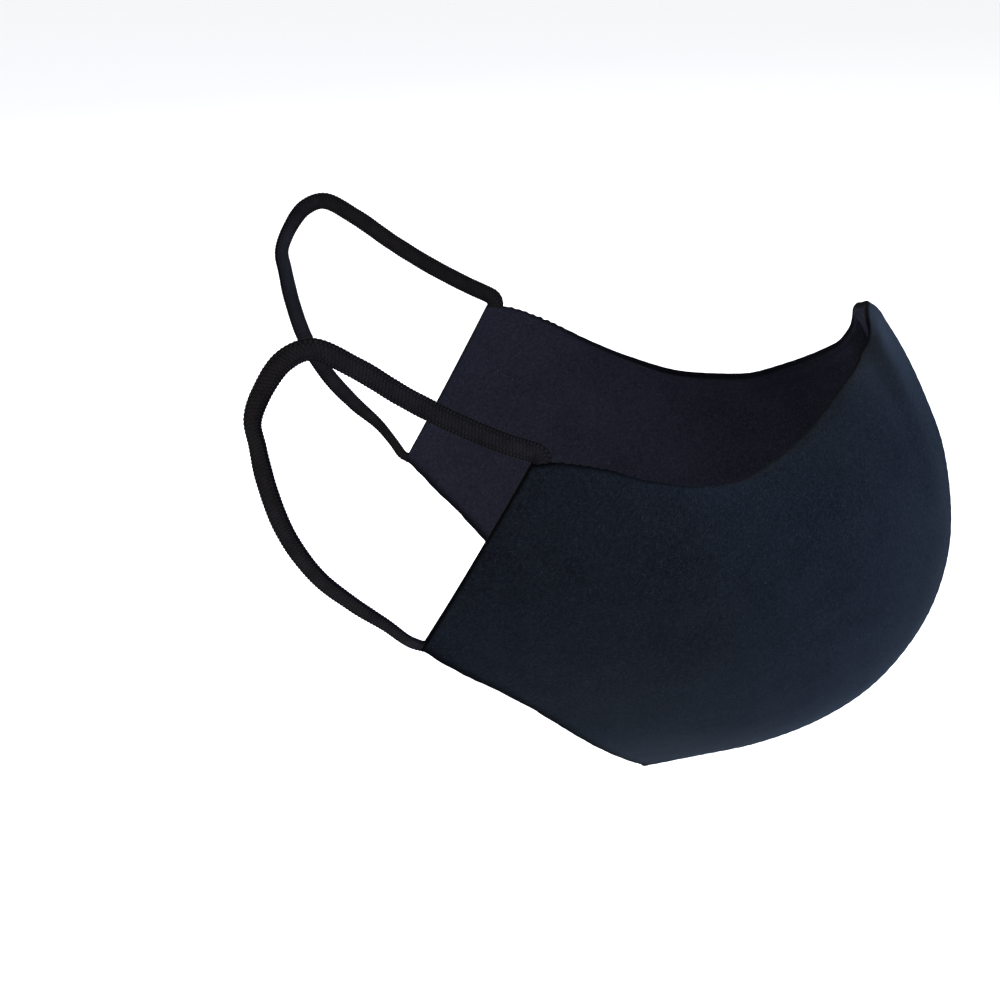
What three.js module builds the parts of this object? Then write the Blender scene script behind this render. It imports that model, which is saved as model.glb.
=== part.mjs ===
import * as THREE from 'three';

// Contoured cloth face mask in its worn form: two shaped panels that meet in a seam down the middle of the
// face, and a flat elastic loop for each ear.
// Millimetres, +Z up. The wearer faces -Y and the wearer's left is +X. The origin is the inner face of the
// seam at its nose end, in the mid-plane.

// Cloth and joints
const clothWall = 1.6;
const seamGap = 0.3;
const seatGap = 0.3;

// Seam, from its nose end to its chin end
const seamHeight = 114;
const seamReach = 23.2;
const chinSetback = 47.7;

// Nose arch at the top of the seam
const noseHalfWidth = 8;
const noseArchDepth = 10.8;

// Top edge from the nose arch to the ear edge
const earHalfWidth = 67;
const earDepth = 81.4;
const earDrop = 15.5;
const cheekDip = 27;

// Ear edge, from its top corner to its low corner
const earEdgeHeight = 39.4;
const earEdgeSlant = 21.3;
const earEdgeTuck = 4;
const earEdgeHollow = 0.1;

// Elastic ear loop. lowInset is from the ear edge's low corner to the middle of the band's low end.
const bandWidth = 4.2;
const bandThickness = 1.1;
const bandChamfer = 0.3;
const lowInset = 0.4;
const turnStub = 0.3;
const turnClearance = 0.25;
const approachLength = 1.2;
const loopReach = 52.2;
const loopRise = 26.3;
const loopFlare = 9;

// Facets
const rowCount = 26;
const rowCrowding = 1.2;
const columnCount = 30;
const columnCrowding = 1.35;
const turnSteps = 4;
const bandSteps = 64;
const bandCrowding = 1.4;

// Seam points: forward and back are shares of seamReach and chinSetback, down is a share of seamHeight.
const seamRows = [
  { forward: 0, back: 0, down: 0 },
  { forward: 0.088, back: 0, down: 0.0115 },
  { forward: 0.189, back: 0, down: 0.0385 },
  { forward: 0.39, back: 0, down: 0.1 },
  { forward: 0.64, back: 0, down: 0.197 },
  { forward: 0.865, back: 0, down: 0.31 },
  { forward: 1, back: 0, down: 0.49 },
  { forward: 0.917, back: 0, down: 0.617 },
  { forward: 0.705, back: 0, down: 0.72 },
  { forward: 0.287, back: 0, down: 0.83 },
  { forward: 0, back: 0.111, down: 0.903 },
  { forward: 0, back: 0.415, down: 0.953 },
  { forward: 0, back: 0.73, down: 0.98 },
  { forward: 0, back: 1, down: 1 },
];

// Nose arch points beside the seam: out is a share of noseHalfWidth, back and down are shares of noseArchDepth.
const archRows = [
  { out: 0.67, back: 0.083, down: 0.157 },
  { out: 0.98, back: 0.1, down: 0.37 },
  { out: 0.98, back: 0.139, down: 0.685 },
  { out: 0.99, back: 0.25, down: 0.88 },
];

// Cheek points of the top edge: shares of earHalfWidth, earDepth and cheekDip.
const cheekRows = [
  { out: 0.139, back: 0.043, down: 0.413 },
  { out: 0.18, back: 0.072, down: 0.5 },
  { out: 0.276, back: 0.144, down: 0.67 },
  { out: 0.41, back: 0.247, down: 0.867 },
  { out: 0.545, back: 0.348, down: 0.96 },
  { out: 0.657, back: 0.443, down: 1 },
  { out: 0.769, back: 0.56, down: 0.948 },
  { out: 0.858, back: 0.698, down: 0.826 },
  { out: 0.933, back: 0.829, down: 0.667 },
  { out: 0.982, back: 0.937, down: 0.58 },
];

// Bottom edge points between the chin end of the seam and the ear edge's low corner: shares of the way
// across, back and up.
const jawRows = [
  { out: 0.205, back: 0.124, up: 0.1415 },
  { out: 0.41, back: 0.263, up: 0.3 },
  { out: 0.65, back: 0.499, up: 0.554 },
  { out: 0.825, back: 0.711, up: 0.757 },
  { out: 0.935, back: 0.88, up: 0.895 },
];

// Handles of the cross curves, a row for each share of the way down the seam. The front handle leaves the
// seam and the side handle leaves the ear edge: out is a share of earHalfWidth, back of the ear corner's
// distance behind the front of the seam, and up of seamHeight.
const handleRows = [
  { at: 0, frontOut: 0.37, frontBack: 0.075, frontUp: -0.22, sideOut: -0.075, sideBack: -0.39, sideUp: -0.155 },
  { at: 0.25, frontOut: 0.39, frontBack: 0.1, frontUp: -0.07, sideOut: -0.065, sideBack: -0.42, sideUp: -0.14 },
  { at: 0.5, frontOut: 0.4, frontBack: 0.12, frontUp: 0, sideOut: -0.07, sideBack: -0.42, sideUp: -0.12 },
  { at: 0.75, frontOut: 0.41, frontBack: 0.125, frontUp: 0.08, sideOut: -0.12, sideBack: -0.34, sideUp: -0.14 },
  { at: 1, frontOut: 0.412, frontBack: 0.119, frontUp: 0.151, sideOut: -0.209, sideBack: -0.226, sideUp: -0.18 },
];

// Ear loop points after its turn at the top edge. out is a share of loopFlare, back of loopReach and up of
// loopRise, all from the top corner of the ear edge. twist is in degrees, 0 where the band lies flat against
// the side of the head and 90 where it stands edge on. width is a share of bandWidth: the band is gathered
// towards its low end, where it is sewn in.
const loopRows = [
  { out: 0.17, back: 0.102, up: 0.204, twist: 0, width: 1 },
  { out: 0.39, back: 0.287, up: 0.392, twist: 0, width: 1 },
  { out: 0.61, back: 0.464, up: 0.605, twist: 0, width: 1 },
  { out: 0.78, back: 0.64, up: 0.847, twist: 0, width: 1 },
  { out: 0.91, back: 0.792, up: 0.998, twist: -5, width: 1 },
  { out: 0.97, back: 0.886, up: 0.93, twist: -12, width: 1 },
  { out: 1, back: 0.958, up: 0.748, twist: -28, width: 1 },
  { out: 1, back: 1.007, up: 0.503, twist: -42, width: 1 },
  { out: 1, back: 0.994, up: 0.313, twist: -40, width: 1 },
  { out: 1, back: 0.967, up: 0.02, twist: -28, width: 1 },
  { out: 0.89, back: 0.905, up: -0.368, twist: -28, width: 1 },
  { out: 0.7, back: 0.8, up: -0.722, twist: -30, width: 1 },
  { out: 0.39, back: 0.666, up: -1.002, twist: -28, width: 0.9 },
  { out: 0.17, back: 0.549, up: -1.2, twist: -20, width: 0.66 },
  { out: -0.11, back: 0.478, up: -1.355, twist: -14, width: 0.57 },
];
const turnTwist = 0;
const seatTwist = -6;
const seatWidth = 0.57;

// How quickly the shaping of the top and bottom edges fades into the panel
const topFade = 7;
const bottomFade = 4;

// How many walls from the seam the mitre of the inner face reaches
const mitreReach = 2;

const seamTop = new THREE.Vector3(seamGap / 2, -clothWall, 0);
const chinEnd = new THREE.Vector3(seamGap / 2, seamTop.y + chinSetback, -seamHeight);
const earTop = new THREE.Vector3(earHalfWidth, seamTop.y + earDepth, -earDrop);
const earLow = new THREE.Vector3(
  earTop.x - earEdgeTuck,
  earTop.y + earEdgeSlant,
  earTop.z - earEdgeHeight,
);
const sideDepth = earDepth + seamReach;

// Curves of the right half are worked out on the +X side and mirrored when a piece is built.
function seamCurve() {
  const points = seamRows.map((row) => new THREE.Vector3(
    seamTop.x,
    seamTop.y - row.forward * seamReach + row.back * chinSetback,
    seamTop.z - row.down * seamHeight,
  ));
  return new THREE.CatmullRomCurve3(points);
}

function topEdgeCurve() {
  const arch = archRows.map((row) => new THREE.Vector3(
    seamTop.x + row.out * noseHalfWidth,
    seamTop.y + row.back * noseArchDepth,
    seamTop.z - row.down * noseArchDepth,
  ));
  const cheek = cheekRows.map((row) => new THREE.Vector3(
    row.out * earHalfWidth,
    seamTop.y + row.back * earDepth,
    seamTop.z - row.down * cheekDip,
  ));
  return new THREE.CatmullRomCurve3([seamTop, ...arch, ...cheek, earTop]);
}

function bottomEdgeCurve() {
  const span = earLow.clone().sub(chinEnd);
  const jaw = jawRows.map((row) => new THREE.Vector3(
    chinEnd.x + row.out * span.x,
    chinEnd.y + row.back * span.y,
    chinEnd.z + row.up * span.z,
  ));
  return new THREE.CatmullRomCurve3([chinEnd, ...jaw, earLow]);
}

function earEdgeCurve() {
  const middle = earTop.clone().lerp(earLow, 0.5);
  middle.y -= 2 * earEdgeHollow;
  return new THREE.QuadraticBezierCurve3(earTop, middle, earLow);
}

// Smooth values of the handle table at any share of the way down the seam
function handleInterpolant() {
  const places = handleRows.map((row) => row.at);
  const values = handleRows.flatMap((row) => [
    row.frontOut * earHalfWidth,
    row.frontBack * sideDepth,
    row.frontUp * seamHeight,
    row.sideOut * earHalfWidth,
    row.sideBack * sideDepth,
    row.sideUp * seamHeight,
  ]);
  return new THREE.CubicInterpolant(places, values, values.length / places.length);
}

// The panel's outer face as a grid of points: a row for each step down the seam, a column for each step
// from the seam to the ear edge.
function outerGrid() {
  const seam = seamCurve();
  const ear = earEdgeCurve();
  const top = topEdgeCurve();
  const bottom = bottomEdgeCurve();
  const handles = handleInterpolant();

  function crossCurve(t) {
    const start = seam.getPointAt(t);
    const end = ear.getPointAt(t);
    const [fx, fy, fz, sx, sy, sz] = handles.evaluate(t);
    const front = start.clone().add(new THREE.Vector3(fx, fy, fz));
    const side = end.clone().add(new THREE.Vector3(sx, sy, sz));
    return new THREE.CubicBezierCurve3(start, front, side, end);
  }

  const first = crossCurve(0);
  const last = crossCurve(1);
  const grid = [];
  for (let j = 0; j <= rowCount; j++) {
    const t = (j / rowCount) ** rowCrowding;
    const cross = crossCurve(t);
    const row = [];
    for (let i = 0; i <= columnCount; i++) {
      const u = (i / columnCount) ** columnCrowding;
      const point = cross.getPointAt(u);
      const topShift = top.getPointAt(u).sub(first.getPointAt(u));
      const bottomShift = bottom.getPointAt(u).sub(last.getPointAt(u));
      point.addScaledVector(topShift, (1 - t) ** topFade);
      point.addScaledVector(bottomShift, t ** bottomFade);
      row.push(point);
    }
    grid.push(row);
  }
  return grid;
}

// Unit direction along the grid's rows or columns at one of its points
function gridDirection(grid, j, i, stepJ, stepI) {
  const before = grid[Math.max(j - stepJ, 0)][Math.max(i - stepI, 0)];
  const after = grid[Math.min(j + stepJ, rowCount)][Math.min(i + stepI, columnCount)];
  return after.clone().sub(before).normalize();
}

function outwardNormal(grid, j, i) {
  const down = gridDirection(grid, j, i, 1, 0);
  const across = gridDirection(grid, j, i, 0, 1);
  return down.cross(across).normalize();
}

// The inner face lies one wall behind the outer one. Near the seam it is mitred: the step inwards turns
// parallel to the mid-plane, so that the seam's edge stays in one plane.
function innerPoint(grid, j, i) {
  const normal = outwardNormal(grid, j, i);
  const offSeam = grid[j][i].x - seamTop.x;
  const step = normal.clone();
  step.x *= Math.min(1, offSeam / (mitreReach * clothWall));
  step.divideScalar(step.dot(normal));
  return grid[j][i].clone().addScaledVector(step, -clothWall);
}

// A closed body through rings of points. Each ring runs along one face and back along the other, so the
// two ends close with a strip of quads.
function loftedBody(rings, side) {
  const count = rings[0].length;
  const half = count / 2;
  const positions = rings.flat().flatMap((p) => [side * p.x, p.y, p.z]);
  const indices = [];
  function quad(a, b, c, d) {
    if (side > 0) {
      indices.push(a, b, c, a, c, d);
    } else {
      indices.push(a, c, b, a, d, c);
    }
  }
  for (let j = 0; j < rings.length - 1; j++) {
    for (let k = 0; k < count; k++) {
      const next = (k + 1) % count;
      const row = j * count;
      const below = row + count;
      quad(row + k, below + k, below + next, row + next);
    }
  }
  const end = (rings.length - 1) * count;
  for (let k = 0; k < half - 1; k++) {
    quad(k, k + 1, count - 2 - k, count - 1 - k);
    quad(end + k, end + count - 1 - k, end + count - 2 - k, end + k + 1);
  }
  const geometry = new THREE.BufferGeometry();
  geometry.setAttribute('position', new THREE.Float32BufferAttribute(positions, 3));
  geometry.setIndex(indices);
  geometry.computeVertexNormals();
  return geometry;
}

function panelGeometry(side) {
  const grid = outerGrid();
  const rings = grid.map((row, j) => {
    const inner = row.map((_, i) => innerPoint(grid, j, i));
    return [...row, ...inner.reverse()];
  });
  return loftedBody(rings, side);
}

// A seat on the panel's rim: a point in the middle of the wall, lifted off by the seat gap, and the
// direction out of the panel, square to the rim.
function rimSeat(point, normal, along) {
  const out = normal.clone().cross(along).normalize();
  const middle = point.clone().addScaledVector(normal, -clothWall / 2).addScaledVector(out, seatGap);
  return { point: middle, out };
}

// Where the loop leaves the top edge and where it comes back to the ear edge
function loopSeats() {
  const grid = outerGrid();
  const top = topEdgeCurve();
  const ear = earEdgeCurve();
  const topShare = 1 - (bandWidth / 2) / top.getLength();
  const topNormal = outwardNormal(grid, 0, columnCount);
  const lowShare = 1 - lowInset / ear.getLength();
  const lowNormal = outwardNormal(grid, rowCount, columnCount);
  return {
    topSeat: rimSeat(top.getPointAt(topShare), topNormal, top.getTangentAt(topShare)),
    lowSeat: rimSeat(ear.getPointAt(lowShare), lowNormal, ear.getTangentAt(lowShare)),
  };
}

// The band's turn at the top edge: up out of its seat and round an arc that ends on the way to the target.
function turnPoints(seat, target) {
  const start = seat.point.clone().addScaledVector(seat.out, turnStub);
  const heading = target.clone().sub(start).normalize();
  const aside = heading.clone().addScaledVector(seat.out, -heading.dot(seat.out)).normalize();
  const radius = bandWidth / 2 + turnClearance;
  const pivot = start.clone().addScaledVector(aside, radius);
  const sweep = seat.out.angleTo(heading);
  const arc = [];
  for (let k = 0; k <= turnSteps; k++) {
    const angle = sweep * k / turnSteps;
    const point = pivot.clone()
      .addScaledVector(aside, -radius * Math.cos(angle))
      .addScaledVector(seat.out, radius * Math.sin(angle));
    arc.push(point);
  }
  return [seat.point, ...arc];
}

// Centre line of the band with its twist and width: out of the top edge, a turn towards the ear, round behind it and
// back to the ear edge.
function loopPath() {
  const { topSeat, lowSeat } = loopSeats();
  const body = loopRows.map((row) => new THREE.Vector3(
    earTop.x + row.out * loopFlare,
    earTop.y + row.back * loopReach,
    earTop.z + row.up * loopRise,
  ));
  const turn = turnPoints(topSeat, body[0]);
  const arriving = lowSeat.point.clone().addScaledVector(lowSeat.out, approachLength);
  const points = [...turn, ...body, arriving, lowSeat.point];
  const shaping = [
    ...turn.map(() => [turnTwist, 1]),
    ...loopRows.map((row) => [row.twist, row.width]),
    [seatTwist, seatWidth],
    [seatTwist, seatWidth],
  ];
  return { curve: new THREE.CatmullRomCurve3(points), shaping };
}

// Band section: across its width and through its thickness, along one face and back along the other
function bandSection() {
  const edge = bandWidth / 2;
  const flat = edge - bandChamfer;
  const face = bandThickness / 2;
  const shoulder = face - bandChamfer;
  const faceUp = [[-edge, shoulder], [-flat, face], [flat, face], [edge, shoulder]];
  const faceDown = [[edge, -shoulder], [flat, -face], [-flat, -face], [-edge, -shoulder]];
  return [...faceUp, ...faceDown];
}

function bandGeometry(side) {
  const { curve, shaping } = loopPath();
  const places = shaping.map((_, k) => k / (shaping.length - 1));
  const shapeCurve = new THREE.LinearInterpolant(places, shaping.flat(), shaping[0].length);
  const section = bandSection();
  const sideways = new THREE.Vector3(1, 0, 0);
  const rings = [];
  for (let j = 0; j <= bandSteps; j++) {
    const share = (j / bandSteps) ** bandCrowding;
    const centre = curve.getPointAt(share);
    const tangent = curve.getTangentAt(share);
    const [twist, width] = shapeCurve.evaluate(curve.getUtoTmapping(share));
    const facing = sideways.clone().addScaledVector(tangent, -sideways.dot(tangent)).normalize();
    facing.applyAxisAngle(tangent, THREE.MathUtils.degToRad(twist));
    const across = facing.clone().cross(tangent);
    const ring = section.map(([w, h]) => centre.clone()
      .addScaledVector(across, width * w)
      .addScaledVector(facing, h));
    rings.push(ring);
  }
  return loftedBody(rings, side);
}

const clothColour = 0x171b22;
const elasticColour = 0x161617;

function piece(name, geometry, colour) {
  const material = new THREE.MeshStandardMaterial({ color: colour, roughness: 0.95, metalness: 0 });
  const mesh = new THREE.Mesh(geometry, material);
  mesh.name = name;
  return mesh;
}

const rightSide = -1;
const leftSide = 1;

const mask = new THREE.Group();
mask.add(piece('panel_right', panelGeometry(rightSide), clothColour));
mask.add(piece('panel_left', panelGeometry(leftSide), clothColour));
mask.add(piece('ear_loop_right', bandGeometry(rightSide), elasticColour));
mask.add(piece('ear_loop_left', bandGeometry(leftSide), elasticColour));

export default mask;
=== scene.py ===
"""Contoured cloth face mask in its worn form: cloth panels, ribbed elastic loops, floor, light and camera."""
import math
from typing import NamedTuple

import bpy
import numpy as np
from mathutils import Matrix


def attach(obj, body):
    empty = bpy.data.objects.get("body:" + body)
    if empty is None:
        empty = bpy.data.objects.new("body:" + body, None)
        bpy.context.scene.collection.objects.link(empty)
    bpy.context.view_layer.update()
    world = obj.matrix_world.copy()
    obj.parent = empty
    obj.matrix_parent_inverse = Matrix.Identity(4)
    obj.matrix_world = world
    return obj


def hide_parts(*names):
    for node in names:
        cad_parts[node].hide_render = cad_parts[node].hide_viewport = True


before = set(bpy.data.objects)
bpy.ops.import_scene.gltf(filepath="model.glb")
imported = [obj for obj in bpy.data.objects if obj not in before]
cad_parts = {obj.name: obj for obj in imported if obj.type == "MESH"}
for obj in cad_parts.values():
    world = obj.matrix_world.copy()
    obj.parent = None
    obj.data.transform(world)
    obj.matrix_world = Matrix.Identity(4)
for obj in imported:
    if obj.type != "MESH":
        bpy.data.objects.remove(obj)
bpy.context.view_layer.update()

MM = 0.001

# Sizes in millimetres, as in the solids
CLOTH_WALL = 1.6
SEAM_GAP = 0.3
SEAT_GAP = 0.3
SEAM_HEIGHT = 114.0
SEAM_REACH = 23.2
CHIN_SETBACK = 47.7
NOSE_HALF_WIDTH = 8.0
NOSE_ARCH_DEPTH = 10.8
EAR_HALF_WIDTH = 67.0
EAR_DEPTH = 81.4
EAR_DROP = 15.5
CHEEK_DIP = 27.0
EAR_EDGE_HEIGHT = 39.4
EAR_EDGE_SLANT = 21.3
EAR_EDGE_TUCK = 4.0
EAR_EDGE_HOLLOW = 0.1
BAND_WIDTH = 4.2
BAND_THICKNESS = 1.1
LOW_INSET = 0.4
TURN_STUB = 0.3
TURN_CLEARANCE = 0.25
APPROACH_LENGTH = 1.2
LOOP_REACH = 52.2
LOOP_RISE = 26.3
LOOP_FLARE = 9.0

# Steps, crowding and fading of the solids' surfaces, and the shape of the loop's low end
TURN_STEPS = 4
ROW_COUNT = 26
ROW_CROWDING = 1.2
COLUMN_COUNT = 30
COLUMN_CROWDING = 1.35
TOP_FADE = 7
BOTTOM_FADE = 4
MITRE_REACH = 2.0
SEAT_TWIST = -6.0
SEAT_WIDTH = 0.57

# Seam: forward, back, down
SEAM_ROWS = [
    (0, 0, 0), (0.088, 0, 0.0115), (0.189, 0, 0.0385), (0.39, 0, 0.1), (0.64, 0, 0.197),
    (0.865, 0, 0.31), (1, 0, 0.49), (0.917, 0, 0.617), (0.705, 0, 0.72), (0.287, 0, 0.83),
    (0, 0.111, 0.903), (0, 0.415, 0.953), (0, 0.73, 0.98), (0, 1, 1),
]
# Nose arch: out, back, down
ARCH_ROWS = [(0.67, 0.083, 0.157), (0.98, 0.1, 0.37), (0.98, 0.139, 0.685), (0.99, 0.25, 0.88)]
# Top edge over the cheek: out, back, down
CHEEK_ROWS = [
    (0.139, 0.043, 0.413), (0.18, 0.072, 0.5), (0.276, 0.144, 0.67), (0.41, 0.247, 0.867),
    (0.545, 0.348, 0.96), (0.657, 0.443, 1), (0.769, 0.56, 0.948), (0.858, 0.698, 0.826),
    (0.933, 0.829, 0.667), (0.982, 0.937, 0.58),
]
# Bottom edge under the jaw: out, back, up
JAW_ROWS = [
    (0.205, 0.124, 0.1415), (0.41, 0.263, 0.3), (0.65, 0.499, 0.554), (0.825, 0.711, 0.757),
    (0.935, 0.88, 0.895),
]
# Cross curve handles: at, front out, back and up, side out, back and up
HANDLE_ROWS = [
    (0, 0.37, 0.075, -0.22, -0.075, -0.39, -0.155),
    (0.25, 0.39, 0.1, -0.07, -0.065, -0.42, -0.14),
    (0.5, 0.4, 0.12, 0, -0.07, -0.42, -0.12),
    (0.75, 0.41, 0.125, 0.08, -0.12, -0.34, -0.14),
    (1, 0.412, 0.119, 0.151, -0.209, -0.226, -0.18),
]
# Ear loop: out, back, up, twist, width
LOOP_ROWS = [
    (0.17, 0.102, 0.204, 0, 1), (0.39, 0.287, 0.392, 0, 1), (0.61, 0.464, 0.605, 0, 1),
    (0.78, 0.64, 0.847, 0, 1), (0.91, 0.792, 0.998, -5, 1), (0.97, 0.886, 0.93, -12, 1),
    (1, 0.958, 0.748, -28, 1), (1, 1.007, 0.503, -42, 1), (1, 0.994, 0.313, -40, 1),
    (1, 0.967, 0.02, -28, 1), (0.89, 0.905, -0.368, -28, 1), (0.7, 0.8, -0.722, -30, 1),
    (0.39, 0.666, -1.002, -28, 0.9), (0.17, 0.549, -1.2, -20, 0.66), (-0.11, 0.478, -1.355, -14, 0.57),
]

HALF_WALL = CLOTH_WALL / 2
SEAM_TOP = np.array([SEAM_GAP / 2, -CLOTH_WALL, 0.0])
CHIN_END = np.array([SEAM_GAP / 2, SEAM_TOP[1] + CHIN_SETBACK, -SEAM_HEIGHT])
EAR_TOP = np.array([EAR_HALF_WIDTH, SEAM_TOP[1] + EAR_DEPTH, -EAR_DROP])
EAR_LOW = EAR_TOP + np.array([-EAR_EDGE_TUCK, EAR_EDGE_SLANT, -EAR_EDGE_HEIGHT])
SIDE_DEPTH = EAR_DEPTH + SEAM_REACH


# Curves

CURVE_DIVISIONS = 200
TANGENT_STEP = 1e-4


def unit(v):
    return v / np.linalg.norm(v, axis=-1, keepdims=True)


def smooth_step(x):
    x = np.clip(x, 0, 1)
    return x * x * (3 - 2 * x)


def faded(distance, centre, reach):
    """One at `centre`, falling softly to nothing within about two reaches on both sides."""
    return np.exp(-((distance - centre) / reach) ** 2)


class Path:
    """A curve that can be read at any share of its length."""

    def __init__(self, at):
        self.at = at
        self.ts = np.linspace(0, 1, CURVE_DIVISIONS + 1)
        steps = np.linalg.norm(np.diff(at(self.ts), axis=0), axis=1)
        self.lengths = np.concatenate([[0], np.cumsum(steps)])
        self.length = self.lengths[-1]

    def place(self, share):
        return np.interp(np.asarray(share) * self.length, self.lengths, self.ts)

    def point(self, share):
        return self.at(self.place(share))

    def tangent(self, share):
        t = self.place(share)
        before = self.at(np.maximum(t - TANGENT_STEP, 0))
        after = self.at(np.minimum(t + TANGENT_STEP, 1))
        return unit(after - before)


def spline(points):
    """Centripetal Catmull-Rom curve through the points."""
    points = np.asarray(points, float)
    padded = np.concatenate([[2 * points[0] - points[1]], points, [2 * points[-1] - points[-2]]])

    def at(t):
        t = np.atleast_1d(t)
        place = t * (len(points) - 1)
        k = np.minimum(place.astype(int), len(points) - 2)
        w = (place - k)[:, None]
        p0, p1, p2, p3 = (padded[k + n] for n in range(4))
        spans = ((p0, p1), (p1, p2), (p2, p3))
        d0, d1, d2 = (np.sum((b - a) ** 2, axis=1)[:, None] ** 0.25 for a, b in spans)
        t1 = ((p1 - p0) / d0 - (p2 - p0) / (d0 + d1) + (p2 - p1) / d1) * d1
        t2 = ((p2 - p1) / d1 - (p3 - p1) / (d1 + d2) + (p3 - p2) / d2) * d1
        c2 = -3 * p1 + 3 * p2 - 2 * t1 - t2
        c3 = 2 * p1 - 2 * p2 + t1 + t2
        return p1 + t1 * w + c2 * w ** 2 + c3 * w ** 3

    return Path(at)


def bezier(points):
    """Cubic or quadratic Bezier curve."""
    points = np.asarray(points, float)
    degree = len(points) - 1

    def at(t):
        t = np.atleast_1d(t)[:, None]
        return sum(
            math.comb(degree, k) * (1 - t) ** (degree - k) * t ** k * points[k] for k in range(degree + 1)
        )

    return Path(at)


def seam_curve():
    rows = [(0, -f * SEAM_REACH + b * CHIN_SETBACK, -d * SEAM_HEIGHT) for f, b, d in SEAM_ROWS]
    return spline(SEAM_TOP + np.array(rows))


def top_curve():
    arch = SEAM_TOP + np.array(ARCH_ROWS) * [NOSE_HALF_WIDTH, NOSE_ARCH_DEPTH, -NOSE_ARCH_DEPTH]
    cheek = [0, SEAM_TOP[1], 0] + np.array(CHEEK_ROWS) * [EAR_HALF_WIDTH, EAR_DEPTH, -CHEEK_DIP]
    return spline([SEAM_TOP, *arch, *cheek, EAR_TOP])


def bottom_curve():
    jaw = CHIN_END + np.array(JAW_ROWS) * (EAR_LOW - CHIN_END)
    return spline([CHIN_END, *jaw, EAR_LOW])


def ear_curve():
    middle = (EAR_TOP + EAR_LOW) / 2
    middle[1] -= 2 * EAR_EDGE_HOLLOW
    return bezier([EAR_TOP, middle, EAR_LOW])


def handle_values(t):
    """The handle table at any share of the way down, by cubic segments with natural ends."""
    rows = np.array(HANDLE_ROWS, float)
    places = rows[:, 0]
    values = rows[:, 1:] * np.tile([EAR_HALF_WIDTH, SIDE_DEPTH, SEAM_HEIGHT], 2)
    k = min(int(np.searchsorted(places, t, side="right")), len(places) - 1)
    t0, t1 = places[k - 1], places[k]
    before, t_before = (k - 2, places[k - 2]) if k >= 2 else (k, t1)
    after, t_after = (k + 1, places[k + 1]) if k + 1 < len(places) else (k - 1, t0)
    half = (t1 - t0) / 2
    wp, wn = half / (t0 - t_before), half / (t_after - t1)
    p = (t - t0) / (t1 - t0)
    sp = -wp * p ** 3 + 2 * wp * p ** 2 - wp * p
    s0 = (1 + wp) * p ** 3 + (-1.5 - 2 * wp) * p ** 2 + (-0.5 + wp) * p + 1
    s1 = (-1 - wn) * p ** 3 + (1.5 + wn) * p ** 2 + 0.5 * p
    sn = wn * p ** 3 - wn * p ** 2
    return sp * values[before] + s0 * values[k - 1] + s1 * values[k] + sn * values[after]


# Surfaces


def outer_grid(ts, us):
    """The panel's outer face at shares ts down the seam and us from the seam to the ear edge."""
    seam, ear, top, bottom = seam_curve(), ear_curve(), top_curve(), bottom_curve()

    def cross(t):
        start, end = seam.point(t)[0], ear.point(t)[0]
        h = handle_values(t)
        return bezier([start, start + h[:3], end + h[3:], end])

    top_shift = top.point(us) - cross(0.0).point(us)
    bottom_shift = bottom.point(us) - cross(1.0).point(us)
    return np.array([
        cross(t).point(us) + top_shift * (1 - t) ** TOP_FADE + bottom_shift * t ** BOTTOM_FADE for t in ts
    ])


def grid_normals(grid):
    down = np.gradient(grid, axis=0)
    across = np.gradient(grid, axis=1)
    return unit(np.cross(down, across))


def along(grid, axis):
    """Length along the grid's lines from their start, in millimetres."""
    steps = np.linalg.norm(np.diff(grid, axis=axis), axis=2)
    lengths = np.cumsum(steps, axis=axis)
    return np.insert(lengths, 0, 0, axis=axis)


# Noise: the number of its waves, the least and greatest share of their length, and its height before scaling
RIPPLE_COUNT = 18
RIPPLE_SPREAD = (0.7, 1.5)
RIPPLE_HEIGHT = 1.6


def ripples(points, length, seed):
    """Smooth noise of about unit height in space, with bumps about `length` apart."""
    rng = np.random.default_rng(seed)
    total = np.zeros(points.shape[:-1])
    for _ in range(RIPPLE_COUNT):
        direction = unit(rng.normal(size=3))
        k = 2 * math.pi / (length * rng.uniform(*RIPPLE_SPREAD))
        phase = rng.uniform(0, 2 * math.pi)
        total += np.sin(k * (points @ direction) + phase)
    return total * math.sqrt(2 / RIPPLE_COUNT) / RIPPLE_HEIGHT


def ripple_sum(points, rows, seed):
    return sum(height * ripples(points, length, seed + offset) for height, length, offset in rows)


# Cloth panels, in millimetres

# Distances from an edge at which the fine grid has its first lines, and its step beyond them
EDGE_STEPS = [
    0.0, 0.03, 0.1, 0.2, 0.33, 0.48, 0.64, 0.82, 1.05, 1.35, 1.75, 2.3, 3.0, 3.7, 4.2, 4.45, 4.7, 4.95, 5.3,
]
GRID_STEP = 1.0

# Turned edges: how far each face rolls round, and the outer face's share of the half wall at the very edge
OUTER_ROLL = 0.5
INNER_ROLL = 1.0
RIM_SHARE = 0.45
SEAM_ROLL = 0.5
SEAM_ROLL_SHARE = 0.3

# How far the top, bottom and ear edges are set out, because the roll draws them in
EDGE_OUTSET = (0.33, 0.48, 0.33)
OUTSET_REACH = 1.5

# Hem: twice as high inside as outside
HEM_WIDTH = 6.5
HEM_RISE = 0.07
HEM_SLOPE = 1.5
INNER_HEM_SHARE = 2

# Seam: its height, the reach in which the two halves close up, and the allowance on the inner face
SEAM_PROUD = 0.3
SEAM_PROUD_REACH = 2.2
SEAM_CLOSING = 1.2
ALLOWANCE_WIDTH = 5.0
ALLOWANCE_RISE = 0.35
ALLOWANCE_SLOPE = 0.8


class Ruffle(NamedTuple):
    """Small waves along an edge; `centre` and `reach` are measured from the edge."""
    height: float
    pitch: float
    centre: float
    reach: float

    def fade(self, distance):
        return self.height * faded(distance, self.centre, self.reach)


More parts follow.
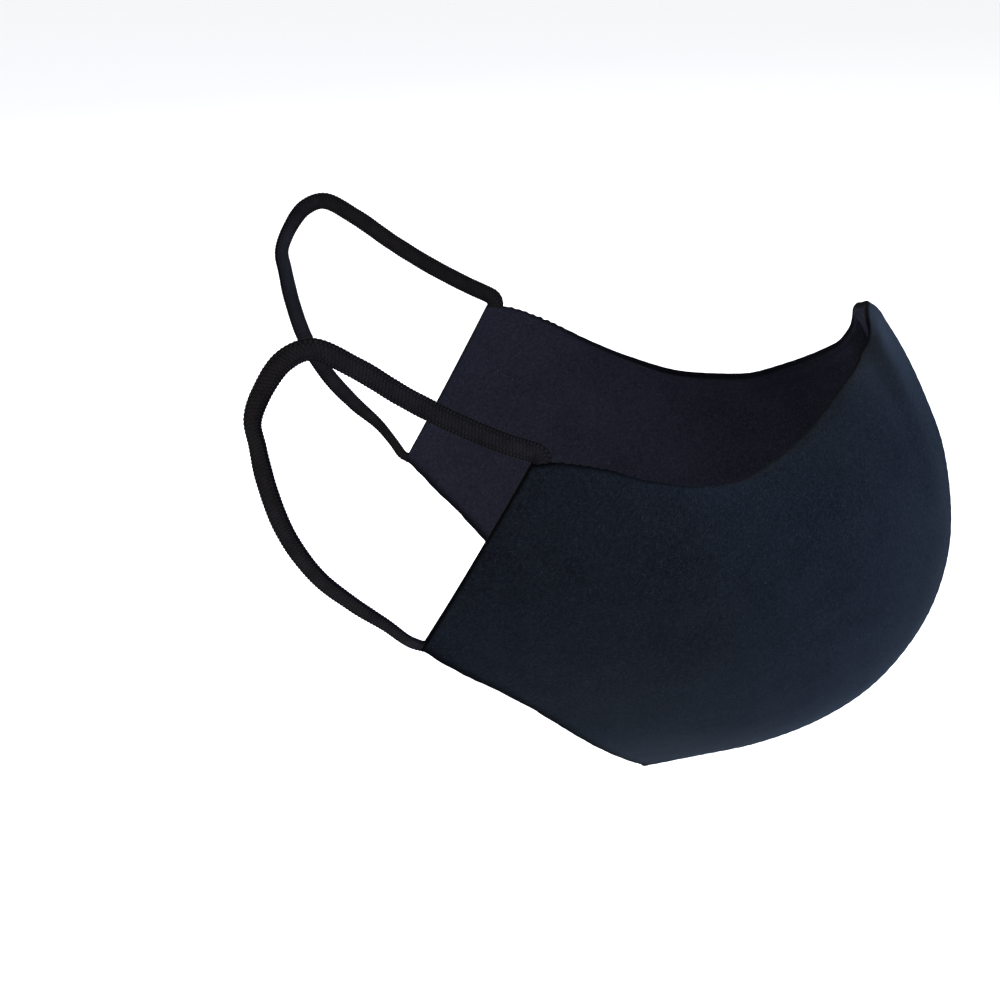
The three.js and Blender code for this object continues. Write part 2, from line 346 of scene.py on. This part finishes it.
SEAM_GATHERS = Ruffle(height=0.05, pitch=2.9, centre=1.1, reach=1.4)
EAR_PUCKERS = Ruffle(height=0.1, pitch=2.05, centre=0.7, reach=1.5)
HEM_WAVES = Ruffle(height=0.02, pitch=3.3, centre=0.8, reach=1.6)

# The puckers lie on the top edge between these distances from the ear edge, and lift the edge between them
PUCKER_START = 4
PUCKER_START_FADE = 2
PUCKER_END = 24
PUCKER_END_FADE = 8
PUCKER_LIFT = 0.16
LIFT_REACH = 1.2

# Noise: height, distance between bumps, and its seed on top of the panel's own
SEAM_LINE_NOISE = [(0.7, 9, 0)]
HEM_LINE_NOISE = [(0.35, 7, 1)]
SURFACE_NOISE = [(0.11, 30, 2), (0.035, 11, 3)]
EDGE_NOISE = [(0.07, 9, 4), (0.05, 3, 5)]
PANEL_SEEDS = {-1: 30, 1: 60}

# The surface's noise fades out towards the seam
CALM_START = -1
CALM_WIDTH = 8

# Painted shade along the turned edges, the seam and the allowance's edge: how strong it is, how far it
# reaches, and where the allowance's lies from its edge
UPPER_SHADE_REACH = 0.5
BOTTOM_SHADE_REACH = 1.3
SEAM_SHADE = 0.75
SEAM_SHADE_REACH = 0.55
ALLOWANCE_SHADE = 0.8
ALLOWANCE_SHADE_PLACE = -0.2
ALLOWANCE_SHADE_REACH = 0.35

# Worn nap round the nose: how far below the seam's top it is centred, and its reach
WEAR_DROP = 4
WEAR_REACH = 17

# Places of the outer and the inner cloth in a panel's list of materials
OUTER_SLOT = 0
INNER_SLOT = 1


def shares(length):
    """Shares of a length with close lines at both ends."""
    edge = np.array(EDGE_STEPS)
    count = int((length - 2 * edge[-1]) / GRID_STEP)
    middle = np.linspace(edge[-1], length - edge[-1], count + 1)[1:-1]
    return np.concatenate([edge, middle, length - edge[::-1]]) / length


def rolled(distance, radius):
    """Share of the wall's half thickness at a distance from a turned edge."""
    x = np.clip(distance / radius, 0, 1)
    return np.sqrt(1 - (1 - x) ** 2)


class PanelGrid:
    """The outer face of a panel as a fine grid, with the ways along it and the distances from its edges."""

    def __init__(self):
        top_length = top_curve().length
        us = shares(top_length)
        self.points = outer_grid(shares(seam_curve().length), us)
        self.normal = grid_normals(self.points)
        self.down_way = unit(np.gradient(self.points, axis=0))
        self.across_way = unit(np.gradient(self.points, axis=1))
        self.from_seam = along(self.points, 1)
        self.from_top = along(self.points, 0)
        self.from_ear = self.from_seam[:, -1:] - self.from_seam
        self.from_bottom = self.from_top[-1:] - self.from_top
        self.from_edge = np.minimum(np.minimum(self.from_ear, self.from_top), self.from_bottom)
        self.past_allowance = us * top_length - ALLOWANCE_WIDTH

    def area(self):
        down = np.diff(self.points, axis=0)[:, :-1]
        across = np.diff(self.points, axis=1)[:-1]
        return float(np.linalg.norm(np.cross(down, across), axis=2).sum())


def wall_way(cloth):
    """The way out through the wall, which turns parallel to the middle plane near the seam."""
    way = cloth.normal.copy()
    way[..., 0] *= np.clip((cloth.points[..., 0] - SEAM_TOP[0]) / (MITRE_REACH * CLOTH_WALL), 0, 1)
    return way / np.sum(way * cloth.normal, axis=2, keepdims=True)


def set_out(cloth):
    """How the edges are set out in the plane of the cloth."""
    distances = np.stack([cloth.from_top, cloth.from_bottom, cloth.from_ear], axis=-1)
    reach = np.array(EDGE_OUTSET) * np.exp(-distances / OUTSET_REACH)
    return cloth.down_way * (reach[..., 1:2] - reach[..., 0:1]) + cloth.across_way * reach[..., 2:3]


def middle_surface(cloth, way, seed):
    """The surface halfway through the wall, with gathers, puckers, unevenness and wandering edges."""
    seam_line = cloth.from_top + ripple_sum(cloth.points, SEAM_LINE_NOISE, seed)
    hem_line = cloth.from_seam + ripple_sum(cloth.points, HEM_LINE_NOISE, seed)
    near_ear = smooth_step((PUCKER_END - cloth.from_ear) / PUCKER_END_FADE)
    near_ear *= smooth_step((cloth.from_ear - PUCKER_START) / PUCKER_START_FADE)
    puckers = np.cos(2 * math.pi * hem_line / EAR_PUCKERS.pitch) * near_ear
    gathers = np.sin(2 * math.pi * seam_line / SEAM_GATHERS.pitch)
    waves = np.sin(2 * math.pi * hem_line / HEM_WAVES.pitch)
    height = gathers * SEAM_GATHERS.fade(cloth.from_seam)
    height += puckers * EAR_PUCKERS.fade(cloth.from_top)
    height += waves * HEM_WAVES.fade(np.minimum(cloth.from_top, cloth.from_bottom))
    unevenness = ripple_sum(cloth.points, SURFACE_NOISE, seed)
    height += unevenness * smooth_step((cloth.from_seam - CALM_START) / CALM_WIDTH)
    height += SEAM_PROUD * faded(cloth.from_seam, 0, SEAM_PROUD_REACH)

    # The top edge stands up between the puckers, and both long edges wander a little
    wander = ripple_sum(cloth.points, EDGE_NOISE, seed)
    lift = (wander + PUCKER_LIFT * puckers) * np.exp(-cloth.from_top / LIFT_REACH)
    lift -= wander * np.exp(-cloth.from_bottom / LIFT_REACH)

    middle = cloth.points - way * HALF_WALL + set_out(cloth)
    return middle + cloth.normal * height[..., None] - cloth.down_way * lift[..., None]


def wall_rises(cloth):
    """How far the outer and inner faces lie from the middle: turned edges, hem and seam allowance."""
    hem = HEM_RISE * smooth_step((HEM_WIDTH - cloth.from_edge) / HEM_SLOPE)
    at_seam = 1 - SEAM_ROLL_SHARE + SEAM_ROLL_SHARE * rolled(cloth.from_seam, SEAM_ROLL)
    at_rim = RIM_SHARE + (1 - RIM_SHARE) * rolled(cloth.from_edge, OUTER_ROLL)
    outer_rise = (HALF_WALL + hem) * at_rim * at_seam
    allowance = ALLOWANCE_RISE * smooth_step(-cloth.past_allowance / ALLOWANCE_SLOPE)
    inner_roll = rolled(cloth.from_edge, INNER_ROLL)
    inner_rise = (HALF_WALL + allowance + hem * INNER_HEM_SHARE) * inner_roll
    inner_rise -= HALF_WALL * RIM_SHARE * (1 - inner_roll) * at_seam
    return outer_rise, inner_rise


def panel_faces(rows, cols, side):
    """Corners of the outer faces, the inner faces and the strip between them along the seam."""
    outer = np.arange(rows * cols).reshape(rows, cols)
    inner = outer + rows * cols

    # Both faces share their points along the top, bottom and ear edges
    for rim in ((0, slice(None)), (-1, slice(None)), (slice(None), -1)):
        inner[rim] = outer[rim]

    def quads(index, flip):
        a, b, c, d = index[:-1, :-1], index[1:, :-1], index[1:, 1:], index[:-1, 1:]
        return np.stack([a, d, c, b] if flip else [a, b, c, d], axis=-1).reshape(-1, 4)

    strip = np.stack([outer[:-1, 0], inner[:-1, 0], inner[1:, 0], outer[1:, 0]], axis=-1)
    return [quads(outer, side < 0), quads(inner, side > 0), strip[:, ::-1] if side < 0 else strip]


def panel_marks(cloth):
    """The painted shade along the edges, the seam and the allowance's edge, and how worn the cloth is, first
    for the outer face's points and then for the inner's.
    """
    # Painted shade along the top, ear and bottom edges and along the seam; on the inner face also along the
    # allowance's edge
    painted_shade = faded(np.minimum(cloth.from_top, cloth.from_ear), 0, UPPER_SHADE_REACH)
    painted_shade = np.maximum(painted_shade, faded(cloth.from_bottom, 0, BOTTOM_SHADE_REACH))
    painted_shade = np.maximum(painted_shade, SEAM_SHADE * faded(cloth.from_seam, 0, SEAM_SHADE_REACH))
    allowance_shade = ALLOWANCE_SHADE * faded(cloth.past_allowance, ALLOWANCE_SHADE_PLACE, ALLOWANCE_SHADE_REACH)
    inner_painted_shade = np.maximum(painted_shade, allowance_shade)
    from_nose = np.linalg.norm(cloth.points - SEAM_TOP + [0, 0, WEAR_DROP], axis=2)
    return {
        "painted_shade": np.concatenate([painted_shade.ravel(), inner_painted_shade.ravel()]),
        "wear": np.tile(faded(from_nose.ravel(), 0, WEAR_REACH), 2),
    }


def panel_mesh(name, side):
    cloth = PanelGrid()
    way = wall_way(cloth)
    middle = middle_surface(cloth, way, PANEL_SEEDS[side])
    outer_rise, inner_rise = wall_rises(cloth)
    outer = middle + way * outer_rise[..., None]
    inner = middle - way * inner_rise[..., None]

    # The two panels close up on the seam
    for face in (outer, inner):
        face[..., 0] -= face[:, :1, 0] * np.exp(-cloth.from_seam / SEAM_CLOSING)

    vertices = np.concatenate([outer.reshape(-1, 3), inner.reshape(-1, 3)]) * MM
    vertices[:, 0] *= side
    faces = panel_faces(*cloth.from_seam.shape, side)
    slots = np.repeat([OUTER_SLOT, INNER_SLOT, INNER_SLOT], [len(part) for part in faces])
    uv = np.stack([cloth.from_seam, cloth.from_top], axis=-1).reshape(-1, 2) * MM
    marks = panel_marks(cloth)
    obj = mesh_object(name, vertices, np.concatenate(faces), marks, np.tile(uv, (2, 1)), slots)
    return obj, cloth.area() * MM * MM


def mesh_object(name, vertices, faces, marks, uv=None, slots=None):
    """A smooth shaded mesh from arrays, without doubled corners of a face and unused vertices."""
    face_list = []
    keep = []
    for k, face in enumerate(faces):
        corners = list(dict.fromkeys(int(v) for v in face))
        if len(corners) > 2:
            face_list.append(corners)
            keep.append(k)
    used = np.unique(np.concatenate([np.array(f) for f in face_list]))
    new_index = np.full(len(vertices), -1)
    new_index[used] = np.arange(len(used))
    face_list = [[int(new_index[v]) for v in face] for face in face_list]
    mesh = bpy.data.meshes.new(name)
    mesh.from_pydata(vertices[used].tolist(), [], face_list)
    if uv is not None:
        layer = mesh.uv_layers.new(name="cloth")
        corner = np.empty(len(mesh.loops), dtype=np.int32)
        mesh.loops.foreach_get("vertex_index", corner)
        layer.data.foreach_set("uv", uv[used][corner].ravel())
    for mark, values in marks.items():
        mesh.attributes.new(mark, "FLOAT", "POINT").data.foreach_set("value", values[used])
    if slots is not None:
        mesh.polygons.foreach_set("material_index", slots[keep].astype(np.int32))
    mesh.polygons.foreach_set("use_smooth", np.ones(len(mesh.polygons), dtype=bool))
    mesh.update()
    obj = bpy.data.objects.new(name, mesh)
    bpy.context.scene.collection.objects.link(obj)
    return obj


# Elastic loops, in millimetres

# A rib every RIB_PITCH along the band, and raised cords side by side across it
RIB_PITCH = 0.74
RIB_STEPS = 6
CORD_COUNT = 5
CORD_DEPTH = 0.13
STITCH_HEIGHT = 0.09

# Section: points on each half, and the powers that square a circle into a flat band with round edges
SECTION_POINTS = 22
SECTION_WIDTH_POWER = 0.55
SECTION_HEIGHT_POWER = 0.42

# Edges: how far the ribs stand out of them, near the edge only, and how much the width wanders
SERRATION = 0.05
SERRATION_POWER = 3
WIDTH_WANDER = 0.03
WANDER_LENGTH = 6
WANDER_SEED = 90

# How far the ends run into the cloth, and where the band turns from its seats to face sideways
SEW_IN = 1.0
SEAT_FLAT = 1
SEAT_TURN = 7

# Steps of the band over which its twist and its width are evened out
TWIST_SOFTENING = 40
WIDTH_SOFTENING = 30

# Painted shade: its strength along the edges and how far in it reaches, and its strength in the valleys and
# between the stitches
EDGE_SHADE = 0.75
EDGE_SHADE_WIDTH = 0.35
VALLEY_SHADE = 0.35
STITCH_SHADE = 0.3


def rim_seat(point, normal, tangent):
    out = unit(np.cross(normal, tangent))
    return point - normal * CLOTH_WALL / 2 + out * SEAT_GAP, out


def loop_path():
    """Centre line of the band with its twist and width, and the cloth's normal and way out at both seats."""
    rows = np.linspace(0, 1, ROW_COUNT + 1) ** ROW_CROWDING
    columns = np.linspace(0, 1, COLUMN_COUNT + 1) ** COLUMN_CROWDING
    normals = grid_normals(outer_grid(rows, columns))
    top, ear = top_curve(), ear_curve()
    top_share = 1 - (BAND_WIDTH / 2) / top.length
    low_share = 1 - LOW_INSET / ear.length
    top_point, top_out = rim_seat(top.point(top_share)[0], normals[0, -1], top.tangent(top_share)[0])
    low_point, low_out = rim_seat(ear.point(low_share)[0], normals[-1, -1], ear.tangent(low_share)[0])
    body = EAR_TOP + np.array(LOOP_ROWS)[:, :3] * [LOOP_FLARE, LOOP_REACH, LOOP_RISE]
    start = top_point + top_out * TURN_STUB
    heading = unit(body[0] - start)
    aside = unit(heading - top_out * np.dot(heading, top_out))
    radius = BAND_WIDTH / 2 + TURN_CLEARANCE
    pivot = start + aside * radius
    sweep = math.acos(np.dot(top_out, heading))
    turn = [top_point]
    for k in range(TURN_STEPS + 1):
        angle = sweep * k / TURN_STEPS
        turn.append(pivot - aside * radius * math.cos(angle) + top_out * radius * math.sin(angle))
    path = spline([*turn, *body, low_point + low_out * APPROACH_LENGTH, low_point])
    shaping = [(0, 1)] * len(turn) + [row[3:] for row in LOOP_ROWS] + [(SEAT_TWIST, SEAT_WIDTH)] * 2
    return path, np.array(shaping, float), (normals[0, -1], top_out), (normals[-1, -1], low_out)


def lengthened(values, count):
    """The values with the first and the last one repeated `count` times."""
    return np.concatenate([np.repeat(values[:1], count), values, np.repeat(values[-1:], count)])


def softened(values, reach):
    """Values averaged over `reach` neighbours on each side."""
    window = np.hanning(2 * reach + 3)[1:-1]
    return np.convolve(lengthened(values, reach), window / window.sum(), mode="valid")


def band_facing(length, tangent, twist, top_normal, low_normal):
    """The way the band faces: sideways along the loop, square to the cloth at both seats, and twisted."""
    to_top = (1 - smooth_step((length - SEAT_FLAT) / SEAT_TURN))[:, None]
    to_low = (1 - smooth_step((length[-1] - length - SEAT_FLAT) / SEAT_TURN))[:, None]
    facing = np.array([1.0, 0, 0]) * (1 - to_top) * (1 - to_low)
    facing = facing + top_normal * to_top + low_normal * to_low
    facing = unit(facing - tangent * np.sum(facing * tangent, axis=1, keepdims=True))
    angle = np.radians(twist)[:, None]
    return unit(facing * np.cos(angle) + np.cross(tangent, facing) * np.sin(angle))


def signed_power(x, power):
    return np.sign(x) * np.abs(x) ** power


def band_faces(rings, ring, side):
    """Faces of a closed tube: the strips from ring to ring, and a cap across each end."""
    a = np.arange(rings - 1)[:, None] * ring + np.arange(ring)
    b = np.arange(rings - 1)[:, None] * ring + (np.arange(ring) + 1) % ring
    faces = np.stack([a, b, b + ring, a + ring], axis=-1).reshape(-1, 4).tolist()
    first_cap = [[0, 1, ring - 1]]
    for k in range(1, ring // 2 - 1):
        first_cap.append([k, k + 1, ring - k - 1, ring - k])
    first_cap.append([ring // 2 - 1, ring // 2, ring // 2 + 1])
    last = (rings - 1) * ring
    last_cap = [[last + v for v in face] for face in first_cap]
    faces += [face[::-1] for face in first_cap] + last_cap
    return [face[::-1] for face in faces] if side < 0 else faces


def band_mesh(name, side):
    path, shaping, (top_normal, top_out), (low_normal, low_out) = loop_path()
    steps = int(round(path.length / RIB_PITCH)) * RIB_STEPS
    share = np.linspace(0, 1, steps + 1)
    centre = path.point(share)
    tangent = path.tangent(share)
    places = np.linspace(0, 1, len(shaping))
    twist = softened(np.interp(path.place(share), places, shaping[:, 0]), TWIST_SOFTENING)
    width = softened(np.interp(path.place(share), places, shaping[:, 1]), WIDTH_SOFTENING)

    # Both ends run on into the cloth, where they are sewn in
    sewn = int(round(SEW_IN / RIB_PITCH * RIB_STEPS))
    lead = (np.arange(sewn, 0, -1) * RIB_PITCH / RIB_STEPS)[:, None]
    centre = np.concatenate([centre[0] - top_out * lead, centre, centre[-1] - low_out * lead[::-1]])
    tangent = np.concatenate([np.tile(top_out, (sewn, 1)), tangent, np.tile(-low_out, (sewn, 1))])
    twist = lengthened(twist, sewn)
    width = lengthened(width, sewn)
    length = np.concatenate([[0], np.cumsum(np.linalg.norm(np.diff(centre, axis=0), axis=1))])
    facing = band_facing(length, tangent, twist, top_normal, low_normal)
    side_way = np.cross(facing, tangent)

    # Section: w runs across the band from -1 to 1, and h from its inner face to its outer one
    around = np.arange(2 * SECTION_POINTS) / (2 * SECTION_POINTS) * 2 * math.pi
    w = signed_power(np.cos(around), SECTION_WIDTH_POWER)
    h = signed_power(np.sin(around), SECTION_HEIGHT_POWER)
    rib = 2 * math.pi * length[:, None] / RIB_PITCH
    cords = math.pi * CORD_COUNT * (w + 1) / 2
    cord_valley = 1 - np.abs(np.sin(cords))
    stitch = np.cos(rib + math.pi * np.floor(cords / math.pi))
    relief = 1 - CORD_DEPTH * cord_valley + STITCH_HEIGHT * stitch
    rise = BAND_THICKNESS / 2 * h * relief
    wander = ripples(centre, WANDER_LENGTH, WANDER_SEED)[:, None]
    half_width = BAND_WIDTH / 2 * width[:, None] + SERRATION * np.cos(rib) * np.abs(w) ** SERRATION_POWER
    reach = (half_width + WIDTH_WANDER * wander) * w
    points = centre[:, None] + side_way[:, None] * reach[..., None] + facing[:, None] * rise[..., None]

    # Painted shade, darker along the band's edges, in the valleys between the cords and between the stitches
    from_side = (1 - np.abs(w)) * BAND_WIDTH / 2
    dark = EDGE_SHADE * faded(from_side, 0, EDGE_SHADE_WIDTH) + VALLEY_SHADE * cord_valley
    dark = np.clip(dark + STITCH_SHADE * (1 - stitch), 0, 1)
    vertices = points.reshape(-1, 3) * MM
    vertices[:, 0] *= side
    return mesh_object(name, vertices, band_faces(*points.shape[:2], side), {"painted_shade": dark.ravel()})


# Materials

# The dark yarn of the elastic, its light yarn, and the shade between them
ELASTIC_DARK = (0.0051, 0.0045, 0.0048)
ELASTIC_LIGHT = (0.0155, 0.0135, 0.0144)
ELASTIC_SHADE = (0.0012, 0.0011, 0.0014)

# The dark and light tones of a ground lie at these values of its noise
GROUND_PLACES = (0.36, 0.64)

# Loose fibres show above the first value of their noise, and are whole above the second
FLECK_PLACES = (0.58, 0.74)

# Share of raised fibres where the nap is worn, and of the dark tone that is left under the painted edge shade
WORN_FLECKS = 0.6
SHADE_SHARE = 0.25

CLOTH_ROUGHNESS = (0.88, 1.0)
MATT_SPECULAR = 0.02


def set_inputs(tree, node, inputs):
    """Sets each input of a node to a value, or links it to another node's output."""
    for key, value in inputs.items():
        if isinstance(value, bpy.types.NodeSocket):
            tree.links.new(value, node.inputs[key])
        else:
            node.inputs[key].default_value = value


def add_node(tree, kind, inputs, **settings):
    node = tree.nodes.new(kind)
    for key, value in settings.items():
        setattr(node, key, value)
    set_inputs(tree, node, inputs)
    return node


def node_material(name):
    material = bpy.data.materials.new(name)
    material.use_nodes = True
    tree = material.node_tree
    shader = next(n for n in tree.nodes if n.type == "BSDF_PRINCIPLED")
    return material, tree, shader


def object_place(tree):
    return add_node(tree, "ShaderNodeTexCoord", {}).outputs["Object"]


def mark_value(tree, mark):
    return add_node(tree, "ShaderNodeAttribute", {}, attribute_name=mark).outputs["Fac"]


def noise(tree, place, scale, detail, roughness, distortion=0.0):
    inputs = {
        "Vector": place, "Scale": scale, "Detail": detail, "Roughness": roughness, "Distortion": distortion,
    }
    return add_node(tree, "ShaderNodeTexNoise", inputs).outputs["Fac"]


# Inputs of a Mix node by number: the share is 0, two values are 2 and 3, and two colours are 6 and 7


def mixed_value(tree, first, second, share):
    return add_node(tree, "ShaderNodeMix", {0: share, 2: first, 3: second}, data_type="FLOAT").outputs[0]


def mixed_colour(tree, first, second, share):
    return add_node(tree, "ShaderNodeMix", {0: share, 6: first, 7: second}, data_type="RGBA").outputs[2]


def ranged(tree, value, start=(0.0, 1.0), end=(0.0, 1.0)):
    """The value moved from the range `start` to the range `end`, and kept inside it."""
    inputs = {"Value": value, "From Min": start[0], "From Max": start[1], "To Min": end[0], "To Max": end[1]}
    return add_node(tree, "ShaderNodeMapRange", inputs).outputs["Result"]


def ground_colour(tree, value, dark, light):
    ground = add_node(tree, "ShaderNodeValToRGB", {"Fac": value})
    for element, place, colour in zip(ground.color_ramp.elements, GROUND_PLACES, (dark, light)):
        element.position = place
        element.color = (*colour, 1)
    return ground.outputs["Color"]


def bumped(tree, height, strength, distance):
    inputs = {"Height": height, "Strength": strength, "Distance": distance}
    return add_node(tree, "ShaderNodeBump", inputs).outputs["Normal"]


def cloth_material(name, dark, light, fleck, sheen_tint, sheen):
    """Matt felted cloth: a short nap with lighter fibres, soft patches of tone, and painted shade on the
    folded edges and seams.
    """
    material, tree, shader = node_material(name)
    place = object_place(tree)
    patches = noise(tree, place, scale=70.0, detail=4.0, roughness=0.6)
    nap = noise(tree, place, scale=1500.0, detail=4.0, roughness=0.7, distortion=0.8)
    fibres = noise(tree, place, scale=2600.0, detail=2.0, roughness=0.5, distortion=2.0)
    ground = ground_colour(tree, mixed_value(tree, patches, nap, share=0.75), dark, light)

    # Fibres are raised by wear round the nose
    loose = ranged(tree, fibres, start=FLECK_PLACES)
    worn = {0: mark_value(tree, "wear"), 1: WORN_FLECKS, 2: loose}
    raised = add_node(tree, "ShaderNodeMath", worn, operation="MULTIPLY_ADD", use_clamp=True).outputs[0]
    flecked = mixed_colour(tree, ground, (*fleck, 1), share=raised)

    # Painted shade darkens the folded edges and seams, which also lose their sheen
    painted_shade = mark_value(tree, "painted_shade")
    shade_tone = (*(SHADE_SHARE * np.array(dark)), 1)
    set_inputs(tree, shader, {
        "Base Color": mixed_colour(tree, flecked, shade_tone, share=painted_shade),
        "Normal": bumped(tree, mixed_value(tree, nap, fibres, share=0.4), strength=0.8, distance=0.00016),
        "Roughness": ranged(tree, nap, end=CLOTH_ROUGHNESS),
        "Specular IOR Level": MATT_SPECULAR,
        "Sheen Weight": ranged(tree, painted_shade, end=(sheen, 0.0)),
        "Sheen Roughness": 0.45,
        "Sheen Tint": (*sheen_tint, 1),
    })
    return material


def elastic_material(name):
    """Black ribbed elastic: matt yarn with soft patches of tone, and painted shade in its valleys and along
    its edges.
    """
    material, tree, shader = node_material(name)
    place = object_place(tree)
    yarn = noise(tree, place, scale=3000.0, detail=3.0, roughness=0.7)
    patches = noise(tree, place, scale=220.0, detail=3.0, roughness=0.6)
    tones = mixed_value(tree, patches, yarn, share=0.6)
    ground = ground_colour(tree, tones, ELASTIC_DARK, ELASTIC_LIGHT)
    shade = (*ELASTIC_SHADE, 1)
    set_inputs(tree, shader, {
        "Base Color": mixed_colour(tree, ground, shade, share=mark_value(tree, "painted_shade")),
        "Normal": bumped(tree, yarn, strength=0.7, distance=0.0001),
        "Roughness": 0.75,
        "Specular IOR Level": MATT_SPECULAR,
    })
    return material


# The dressed mask


def dress(obj, node, materials):
    for material in materials:
        obj.data.materials.append(material)
    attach(obj, "root")
    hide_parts(node)


cloth_outer = cloth_material(
    "cloth_outer",
    dark=(0.0017, 0.0021, 0.0028),
    light=(0.0063, 0.0076, 0.0094),
    fleck=(0.0168, 0.0200, 0.0236),
    sheen_tint=(0.3, 0.65, 1.0),
    sheen=0.02,
)
# The inner cloth is lighter and bluer than the outer: partly the lining's own tone, partly painted light
# brightening the inside, which lies in shade
cloth_inner = cloth_material(
    "cloth_inner",
    dark=(0.0068, 0.0070, 0.0115),
    light=(0.0160, 0.0165, 0.0260),
    fleck=(0.0310, 0.0320, 0.0480),
    sheen_tint=(0.7, 0.75, 1.0),
    sheen=0.01,
)
elastic = elastic_material("elastic_black")

for side, word in ((-1, "right"), (1, "left")):
    panel, flat_area = panel_mesh(f"cloth_panel_{word}", side)
    dress(panel, f"panel_{word}", [cloth_outer, cloth_inner])
    band = band_mesh(f"elastic_loop_{word}", side)
    dress(band, f"ear_loop_{word}", [elastic])


# Floor, light and camera, in metres

FLOOR_HEIGHT = -0.3
FLOOR_REACH = 6.0
FLOOR_COLOUR = (0.9, 0.91, 0.92, 1)
FLOOR_ROUGHNESS = 0.9

# Soft square lights that face the mask: name, place, size, watts, colour
LIGHT_AIM = np.array([0, 0.05, -0.05])
LIGHT_ROWS = [
    ("top", (0, -0.1, 1.5), 1.4, 16, (1, 1, 1)),
    ("front", (-0.1, -1.5, 0.2), 1.2, 58, (0.35, 0.53, 1.0)),
    ("fill", (1.2, 0.9, 1.0), 1.4, 25, (1.0, 0.92, 0.8)),
]

# The photograph's angle, with the camera's place, lens and sensor in millimetres
CAMERA_PLACE = np.array([-424.4, 111.0, 101.3])
CAMERA_RIGHT = np.array([-0.0698, -0.9976, 0.0])
CAMERA_UP = np.array([0.3248, -0.0227, 0.9455])
CAMERA_LENS = 70.47
CAMERA_SENSOR = 36
CAMERA_NEAR = 0.01
CAMERA_FAR = 60


def pale_floor():
    mesh = bpy.data.meshes.new("floor")
    signs = ((-1, -1), (1, -1), (1, 1), (-1, 1))
    corners = [(x * FLOOR_REACH, y * FLOOR_REACH, FLOOR_HEIGHT) for x, y in signs]
    mesh.from_pydata(corners, [], [(0, 1, 2, 3)])
    floor = bpy.data.objects.new("floor", mesh)
    bpy.context.scene.collection.objects.link(floor)
    material, tree, shader = node_material("pale_floor")
    set_inputs(tree, shader, {"Base Color": FLOOR_COLOUR, "Roughness": FLOOR_ROUGHNESS})
    mesh.materials.append(material)


def stand(name, data, place, right, upward):
    """An object of the scene, turned so that its own x and y point along `right` and `upward`."""
    obj = bpy.data.objects.new(name, data)
    bpy.context.scene.collection.objects.link(obj)
    rotation = Matrix(np.stack([right, upward, np.cross(right, upward)], axis=1).tolist()).to_4x4()
    obj.matrix_world = Matrix.Translation(place.tolist()) @ rotation
    return obj


def soft_light(name, place, size, watts, colour):
    data = bpy.data.lights.new(name, "AREA")
    data.shape = "SQUARE"
    data.size = size
    data.energy = watts
    data.color = colour
    place = np.array(place, float)
    back = unit(place - LIGHT_AIM)
    right = unit(np.cross([0, 0, 1.0], back))
    stand(name, data, place, right, np.cross(back, right))


def white_world():
    world = bpy.data.worlds.new("studio")
    world.use_nodes = True
    background = next(n for n in world.node_tree.nodes if n.type == "BACKGROUND")
    set_inputs(world.node_tree, background, {"Color": (1, 1, 1, 1), "Strength": 1.0})
    return world


def photo_camera():
    data = bpy.data.cameras.new("camera")
    data.lens = CAMERA_LENS
    data.sensor_width = CAMERA_SENSOR
    data.clip_start = CAMERA_NEAR
    data.clip_end = CAMERA_FAR
    return stand("camera", data, CAMERA_PLACE * MM, unit(CAMERA_RIGHT), unit(CAMERA_UP))


pale_floor()
for row in LIGHT_ROWS:
    soft_light(*row)
bpy.context.scene.world = white_world()
bpy.context.scene.view_settings.view_transform = "Standard"
bpy.context.scene.camera = photo_camera()
